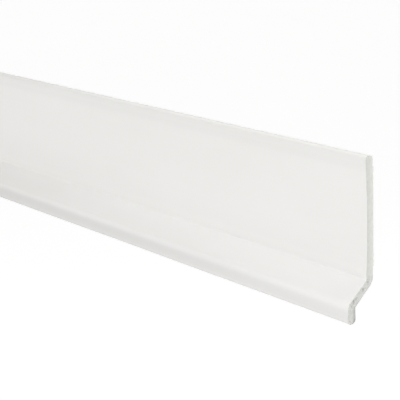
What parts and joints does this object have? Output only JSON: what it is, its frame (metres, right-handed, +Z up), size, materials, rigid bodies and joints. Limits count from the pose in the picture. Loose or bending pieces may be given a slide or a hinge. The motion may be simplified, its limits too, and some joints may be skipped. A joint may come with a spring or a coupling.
{
  "type": "door sweep",
  "caption": "Self-adhesive door sweep: a stiff vinyl flange taped to the door face, with a soft slanted fin and upright lip that seal the gap below.",
  "frame": {"origin": "centre of the face that goes against the door: the outer face of the release liner, over the middle of the tape", "axes": "+X along the door, towards the end where the liner peel starts (the right-hand end seen from the room); +Y into the door; +Z up"},
  "size_m": [0.914, 0.0098, 0.0445],
  "materials": {
    "rigid_vinyl": "satin white",
    "soft_vinyl": "satin white, flexible",
    "foam_tape": "closed-cell foam with a tacky face",
    "liner_paper": "siliconised paper"
  },
  "bodies": {
    "flange": {"mounting_flange": "rigid_vinyl", "foam_tape": "foam_tape", "release_liner": "liner_paper"},
    "fin": {"sealing_fin": "soft_vinyl"},
    "liner_end": {"liner_pull_end": "liner_paper"}
  },
  "joints": [
    {"name": "fin_flex", "type": "hinge", "parent": "flange", "child": "fin", "pos_m": [0, -0.0016, -0.0152], "axis": [1, 0, 0], "range_deg": [-40, 30], "stiffness_Nm_per_rad": 0.5},
    {"name": "liner_peel", "type": "hinge", "parent": "flange", "child": "liner_end", "pos_m": [0.3973, 0, 0], "axis": [0, 0, 1], "range_deg": [0, 150]}
  ]
}
